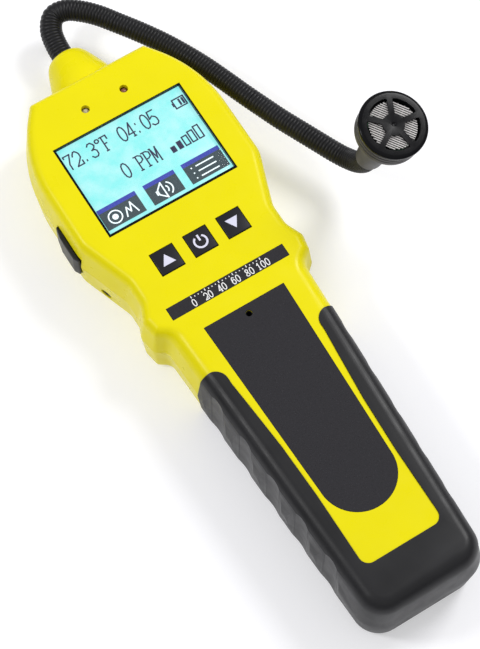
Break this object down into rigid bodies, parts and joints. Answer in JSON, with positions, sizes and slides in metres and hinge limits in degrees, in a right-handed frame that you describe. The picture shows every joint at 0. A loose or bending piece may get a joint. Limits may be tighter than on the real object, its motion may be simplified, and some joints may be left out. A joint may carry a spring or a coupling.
{
  "type": "portable gas detector",
  "caption": "Hand-held gas detector: two-shell case with rubber grip, display window, three keys, side port flap and a bendable gooseneck that ends in a caged sensor head.",
  "frame": {"origin": "middle of the case on the flat rear face that it lies on", "axes": "+X to the right across the display, +Y along the handle towards the gooseneck, +Z out of the display"},
  "size_m": [0.1234, 0.2664, 0.0669],
  "materials": {
    "case_yellow": "satin moulded",
    "grip_rubber": "soft satin",
    "neck_conduit": "ribbed, soft satin",
    "black_plastic": "satin moulded",
    "key_plastic": "satin with printed symbols",
    "grey_plastic": "satin moulded",
    "label_film": "fine grain film",
    "lcd_glass": "clear, printed edge",
    "lcd_display": "backlit",
    "board_green": "solder mask",
    "steel": "plated",
    "brass": "machined",
    "cell_wrap": "shrink sleeve",
    "led_clear": "clear lens",
    "led_red": "tinted lens"
  },
  "bodies": {
    "case": {"battery_cell": "cell_wrap", "battery_holder": "black_plastic", "cable_plug": "grey_plastic", "case_screw_1": "steel", "case_screw_2": "steel", "case_screw_3": "steel", "case_screw_4": "steel", "case_screw_5": "steel", "case_screw_6": "steel", "charge_jack": "black_plastic", "contact_minus": "steel", "contact_plus": "steel", "front_case": "case_yellow", "handle_label": "label_film", "lcd_backlight": "grey_plastic", "lcd_frame": "black_plastic", "lcd_panel": "lcd_display", "lcd_window": "lcd_glass", "led_left": "led_clear", "led_right": "led_red", "main_board": "board_green", "name_strip": "label_film", "neck_link_1": "neck_conduit", "neck_nut": "brass", "neck_sleeve": "brass", "port_frame": "black_plastic", "port_socket": "steel", "rear_case": "case_yellow", "rear_plate": "label_film", "rubber_grip": "grip_rubber", "sensor_cable": "neck_conduit", "sounder": "black_plastic", "switch_down": "steel", "switch_power": "steel", "switch_up": "steel"},
    "key_up": {"key_up": "key_plastic"},
    "key_power": {"key_power": "key_plastic"},
    "key_down": {"key_down": "key_plastic"},
    "port_flap": {"port_cover": "grip_rubber"},
    "neck_a": {"neck_link_2": "neck_conduit"},
    "neck_b": {"neck_link_3": "neck_conduit"},
    "neck_c": {"neck_link_4": "neck_conduit"},
    "neck_d": {"neck_link_5": "neck_conduit"},
    "sensor_head": {"neck_link_6": "neck_conduit", "sensor_neck": "grey_plastic", "sensor_cup": "grey_plastic", "sensor_cap": "black_plastic", "sensor_mesh": "steel", "sensor_element": "steel", "sensor_board": "board_green"}
  },
  "joints": [
    {"name": "key_up_press", "type": "slide", "parent": "case", "child": "key_up", "axis": [0, 0, -1], "range_m": [0, 0.0007], "stiffness_N_per_m": 2000},
    {"name": "key_power_press", "type": "slide", "parent": "case", "child": "key_power", "axis": [0, 0, -1], "range_m": [0, 0.0007], "stiffness_N_per_m": 2000},
    {"name": "key_down_press", "type": "slide", "parent": "case", "child": "key_down", "axis": [0, 0, -1], "range_m": [0, 0.0007], "stiffness_N_per_m": 2000},
    {"name": "port_flap_hinge", "type": "hinge", "parent": "case", "child": "port_flap", "pos_m": [-0.0386, 0.062, 0.0105], "axis": [0, -1, 0], "range_deg": [0, 100], "stiffness_Nm_per_rad": 0.002},
    {"name": "neck_swing_1", "type": "hinge", "parent": "case", "child": "neck_a", "pos_m": [0.0102, 0.1483, 0.0163], "axis": [0, 0, 1], "range_deg": [0, 35]},
    {"name": "neck_lift_1", "type": "hinge", "parent": "neck_a", "child": "neck_b", "pos_m": [0.0337, 0.1174, 0.0165], "axis": [-0.8772, -0.4801, 0], "range_deg": [-5, 40]},
    {"name": "neck_swing_2", "type": "hinge", "parent": "neck_b", "child": "neck_c", "pos_m": [0.045, 0.0914, 0.0165], "axis": [0, 0, 1], "range_deg": [-12, 35]},
    {"name": "neck_lift_2", "type": "hinge", "parent": "neck_c", "child": "neck_d", "pos_m": [0.0539, 0.0672, 0.0165], "axis": [-0.9262, -0.3771, 0], "range_deg": [-5, 40]},
    {"name": "sensor_tilt", "type": "hinge", "parent": "neck_d", "child": "sensor_head", "pos_m": [0.0635, 0.0452, 0.0165], "axis": [-0.9099, -0.4149, 0], "range_deg": [-25, 40]}
  ]
}
